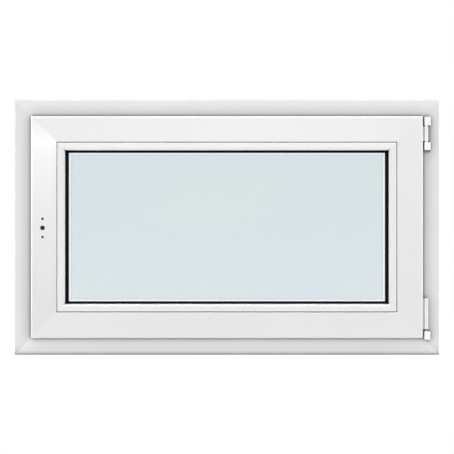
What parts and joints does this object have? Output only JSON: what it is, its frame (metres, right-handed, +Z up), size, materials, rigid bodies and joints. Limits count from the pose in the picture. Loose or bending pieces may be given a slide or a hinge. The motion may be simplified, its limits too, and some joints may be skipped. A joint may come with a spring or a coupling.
{
  "type": "tilt-and-turn window",
  "caption": "White tilt-and-turn window: outer frame, double-glazed sash, hinges and the hidden locking gear with a socket for a handle.",
  "frame": {"origin": "middle of the frame's underside, on the sill, half way through the frame's depth", "axes": "+X right seen from the room, +Y out of the room, +Z up"},
  "size_m": [1, 0.093, 0.6],
  "materials": {
    "upvc_white": "semi-gloss white uPVC",
    "cap_white": "white moulded or coated part",
    "gasket_black": "soft black EPDM",
    "sealant": "butyl and polysulphide edge seal",
    "glass": "clear float, faintly green at the edge",
    "spacer_aluminium": "mill finish",
    "block_plastic": "hard packer",
    "profile_steel": "galvanised section",
    "plated_steel": "silver zinc plated",
    "zinc_dark": "dark passivated die-cast zinc",
    "zinc_cast": "die-cast zinc",
    "spring_steel": "bright spring strip",
    "bush_plastic": "black acetal"
  },
  "bodies": {
    "frame": {"frame_sill": "upvc_white", "frame_head": "upvc_white", "frame_jamb_left": "upvc_white", "frame_jamb_right": "upvc_white", "frame_reinforcements": "profile_steel", "frame_gasket": "gasket_black", "drain_caps": "cap_white", "lock_strikers_left": "zinc_cast", "lock_striker_top": "zinc_cast", "tilt_striker": "zinc_cast", "striker_screws": "plated_steel", "stay_bearing": "zinc_dark", "stay_bearing_pin": "plated_steel", "bearing_caps": "cap_white", "corner_bearing": "zinc_cast", "corner_bearing_cap": "cap_white", "hinge_screws": "plated_steel"},
    "hinge_swivels": {"corner_swivel": "plated_steel", "stay_bearing_bush": "bush_plastic"},
    "sash": {"sash_bottom_rail": "upvc_white", "sash_top_rail": "upvc_white", "sash_stile_left": "upvc_white", "sash_stile_right": "upvc_white", "sash_reinforcements": "profile_steel", "sash_gasket": "gasket_black", "bead_bottom": "upvc_white", "bead_top": "upvc_white", "bead_left": "upvc_white", "bead_right": "upvc_white", "bead_gasket": "gasket_black", "outer_glazing_gasket": "gasket_black", "inner_pane": "glass", "outer_pane": "glass", "spacer_bar": "spacer_aluminium", "edge_seal": "sealant", "glazing_blocks": "block_plastic", "gearbox_housing": "zinc_cast", "faceplate_left": "plated_steel", "faceplate_top": "plated_steel", "faceplate_bottom": "plated_steel", "sash_screws": "plated_steel", "corner_drives": "plated_steel", "corner_band": "cap_white", "corner_pin": "plated_steel", "corner_washer": "bush_plastic"},
    "handle": {"handle_follower": "zinc_cast"},
    "drive": {"drive_rod": "plated_steel", "left_cams": "zinc_cast", "corner_strips": "spring_steel"},
    "top_lock": {"top_rod": "plated_steel", "top_cam": "zinc_cast"},
    "bottom_lock": {"bottom_rod": "plated_steel", "bottom_cam": "zinc_cast"},
    "stay": {"stay_arm": "plated_steel", "stay_band": "cap_white", "stay_band_cover": "cap_white", "stay_pin": "plated_steel"}
  },
  "joints": [
    {"name": "sash_turn", "type": "hinge", "parent": "frame", "child": "hinge_swivels", "pos_m": [0.469, -0.049, 0.042], "axis": [0, 0, 1], "range_deg": [0, 90]},
    {"name": "sash_tilt", "type": "hinge", "parent": "hinge_swivels", "child": "sash", "pos_m": [0.469, -0.049, 0.042], "axis": [1, 0, 0], "range_deg": [0, 10]},
    {"name": "drive_slide", "type": "slide", "parent": "sash", "child": "drive", "axis": [0, 0, 1], "range_m": [-0.01084, 0.01084], "deforming": ["corner_strips"]},
    {"name": "handle_turn", "type": "hinge", "parent": "sash", "child": "handle", "pos_m": [-0.4335, -0.0255, 0.298], "axis": [0, -1, 0], "range_deg": [-90, 90]},
    {"name": "top_slide", "type": "slide", "parent": "sash", "child": "top_lock", "axis": [1, 0, 0], "range_m": [-0.01084, 0.01084]},
    {"name": "bottom_slide", "type": "slide", "parent": "sash", "child": "bottom_lock", "axis": [-1, 0, 0], "range_m": [-0.01084, 0.01084]},
    {"name": "stay_swing", "type": "hinge", "parent": "hinge_swivels", "child": "stay", "pos_m": [0.469, -0.049, 0.519], "axis": [0, 0, 1], "range_deg": [0, 16.7]}
  ],
  "couplings": [
    {"joint": "stay_swing", "follows": "sash_tilt", "ratio": 1.661},
    {"joint": "handle_turn", "follows": "drive_slide", "rad_per_m": 144.93},
    {"joint": "top_slide", "follows": "drive_slide", "ratio": 1},
    {"joint": "bottom_slide", "follows": "drive_slide", "ratio": 1}
  ]
}
